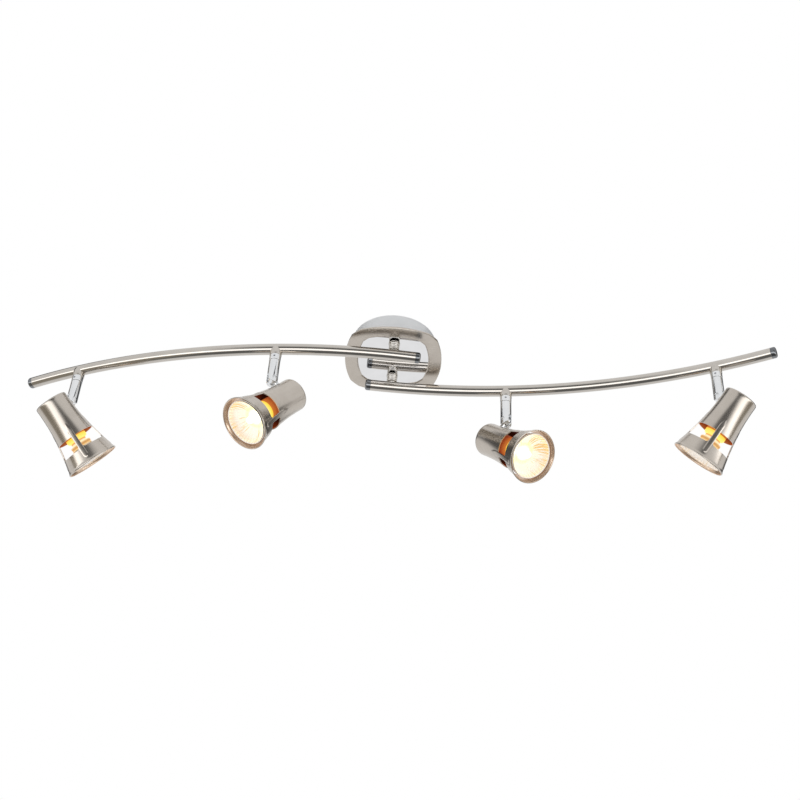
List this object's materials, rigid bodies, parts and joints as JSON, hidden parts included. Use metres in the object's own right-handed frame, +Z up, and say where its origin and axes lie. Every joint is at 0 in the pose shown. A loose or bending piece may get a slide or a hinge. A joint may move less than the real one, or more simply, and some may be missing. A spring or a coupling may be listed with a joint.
{
  "type": "ceiling spotlight bar fixture",
  "caption": "Split-bar ceiling spotlight: curved satin-nickel tubes swivel on stems under a mirror-centred plate and carry tilting, windowed spotlight heads on chrome arms.",
  "frame": {"origin": "centre of the ceiling plate on the ceiling plane", "axes": "+Z up into the ceiling, X along the tubes, -Y on the side where the left tube's stem is; the fixture hangs in -Z"},
  "size_m": [0.8443, 0.1664, 0.179],
  "materials": {
    "satin_nickel": "warm satin nickel, fine brushed grain along the tube",
    "mirror_chrome": "polished mirror chrome",
    "cover_finish": "pale satin silver enamel",
    "zinc_steel": "bright zinc-plated steel",
    "brass": "plain brass",
    "terminal_plastic": "off-white thermoplastic",
    "black_screw": "blackened steel grub screw",
    "ceramic": "matt steatite ceramic",
    "lamp_ceramic": "lamp base ceramic lit amber from inside",
    "reflector_glass": "dichroic fluted glass reflector, glowing amber",
    "capsule_glow": "lit halogen capsule, warm white",
    "front_glass": "clear glass lamp front"
  },
  "bodies": {
    "ceiling_plate": {"mounting_bracket": "zinc_steel", "ceiling_cover": "cover_finish", "mirror_plate": "mirror_chrome", "trim_ring": "satin_nickel", "stems": "mirror_chrome", "stem_locknuts": "brass", "cover_screws": "mirror_chrome", "terminal_block": "terminal_plastic", "earth_screw": "brass"},
    "bar_left": {"bar_left_tube": "satin_nickel", "bar_left_end_caps": "mirror_chrome", "bar_left_saddles": "satin_nickel", "bar_left_collars": "mirror_chrome", "bar_left_grub_screws": "black_screw"},
    "bar_right": {"bar_right_tube": "satin_nickel", "bar_right_end_caps": "mirror_chrome", "bar_right_saddles": "satin_nickel", "bar_right_collars": "mirror_chrome", "bar_right_grub_screws": "black_screw"},
    "arm_1": {"arm_1_tube": "mirror_chrome", "arm_1_pin": "mirror_chrome"},
    "head_1": {"head_1_knuckle": "mirror_chrome", "head_1_shade": "satin_nickel", "head_1_back_cap": "satin_nickel", "head_1_lampholder": "ceramic", "head_1_lamp_base": "lamp_ceramic", "head_1_lamp_reflector": "reflector_glass", "head_1_lamp_capsule": "capsule_glow", "head_1_lamp_glass": "front_glass"},
    "arm_2": {"arm_2_tube": "mirror_chrome", "arm_2_pin": "mirror_chrome"},
    "head_2": {"head_2_knuckle": "mirror_chrome", "head_2_shade": "satin_nickel", "head_2_back_cap": "satin_nickel", "head_2_lampholder": "ceramic", "head_2_lamp_base": "lamp_ceramic", "head_2_lamp_reflector": "reflector_glass", "head_2_lamp_capsule": "capsule_glow", "head_2_lamp_glass": "front_glass"},
    "arm_3": {"arm_3_tube": "mirror_chrome", "arm_3_pin": "mirror_chrome"},
    "head_3": {"head_3_knuckle": "mirror_chrome", "head_3_shade": "satin_nickel", "head_3_back_cap": "satin_nickel", "head_3_lampholder": "ceramic", "head_3_lamp_base": "lamp_ceramic", "head_3_lamp_reflector": "reflector_glass", "head_3_lamp_capsule": "capsule_glow", "head_3_lamp_glass": "front_glass"},
    "arm_4": {"arm_4_tube": "mirror_chrome", "arm_4_pin": "mirror_chrome"},
    "head_4": {"head_4_knuckle": "mirror_chrome", "head_4_shade": "satin_nickel", "head_4_back_cap": "satin_nickel", "head_4_lampholder": "ceramic", "head_4_lamp_base": "lamp_ceramic", "head_4_lamp_reflector": "reflector_glass", "head_4_lamp_capsule": "capsule_glow", "head_4_lamp_glass": "front_glass"}
  },
  "joints": [
    {"name": "bar_left_swing", "type": "hinge", "parent": "ceiling_plate", "child": "bar_left", "pos_m": [0, -0.0275, -0.042], "axis": [0, 0, 1], "range_deg": [-40, 60]},
    {"name": "bar_right_swing", "type": "hinge", "parent": "ceiling_plate", "child": "bar_right", "pos_m": [0, 0.0275, -0.042], "axis": [0, 0, 1], "range_deg": [-40, 60]},
    {"name": "arm_1_turn", "type": "hinge", "parent": "bar_left", "child": "arm_1", "pos_m": [-0.35917, 0.035, -0.042], "axis": [0, 0, 1], "range_deg": [-170, 170]},
    {"name": "head_1_tilt", "type": "hinge", "parent": "arm_1", "child": "head_1", "pos_m": [-0.35917, 0.035, -0.0865], "axis": [-0.6143, 0.7891, 0], "range_deg": [-47.2, 50.8]},
    {"name": "arm_2_turn", "type": "hinge", "parent": "bar_left", "child": "arm_2", "pos_m": [-0.13121, -0.02428, -0.042], "axis": [0, 0, 1], "range_deg": [-170, 170]},
    {"name": "head_2_tilt", "type": "hinge", "parent": "arm_2", "child": "head_2", "pos_m": [-0.13121, -0.02428, -0.0865], "axis": [0.4555, -0.8902, 0], "range_deg": [-61.2, 36.8]},
    {"name": "arm_3_turn", "type": "hinge", "parent": "bar_right", "child": "arm_3", "pos_m": [0.13109, 0.02108, -0.042], "axis": [0, 0, 1], "range_deg": [-170, 170]},
    {"name": "head_3_tilt", "type": "hinge", "parent": "arm_3", "child": "head_3", "pos_m": [0.13109, 0.02108, -0.0865], "axis": [0.6959, 0.7181, 0], "range_deg": [-51.3, 46.7]},
    {"name": "arm_4_turn", "type": "hinge", "parent": "bar_right", "child": "arm_4", "pos_m": [0.35754, -0.04375, -0.042], "axis": [0, 0, 1], "range_deg": [-170, 170]},
    {"name": "head_4_tilt", "type": "hinge", "parent": "arm_4", "child": "head_4", "pos_m": [0.35754, -0.04375, -0.0865], "axis": [-0.6782, -0.7349, 0], "range_deg": [-53.8, 44.2]}
  ]
}
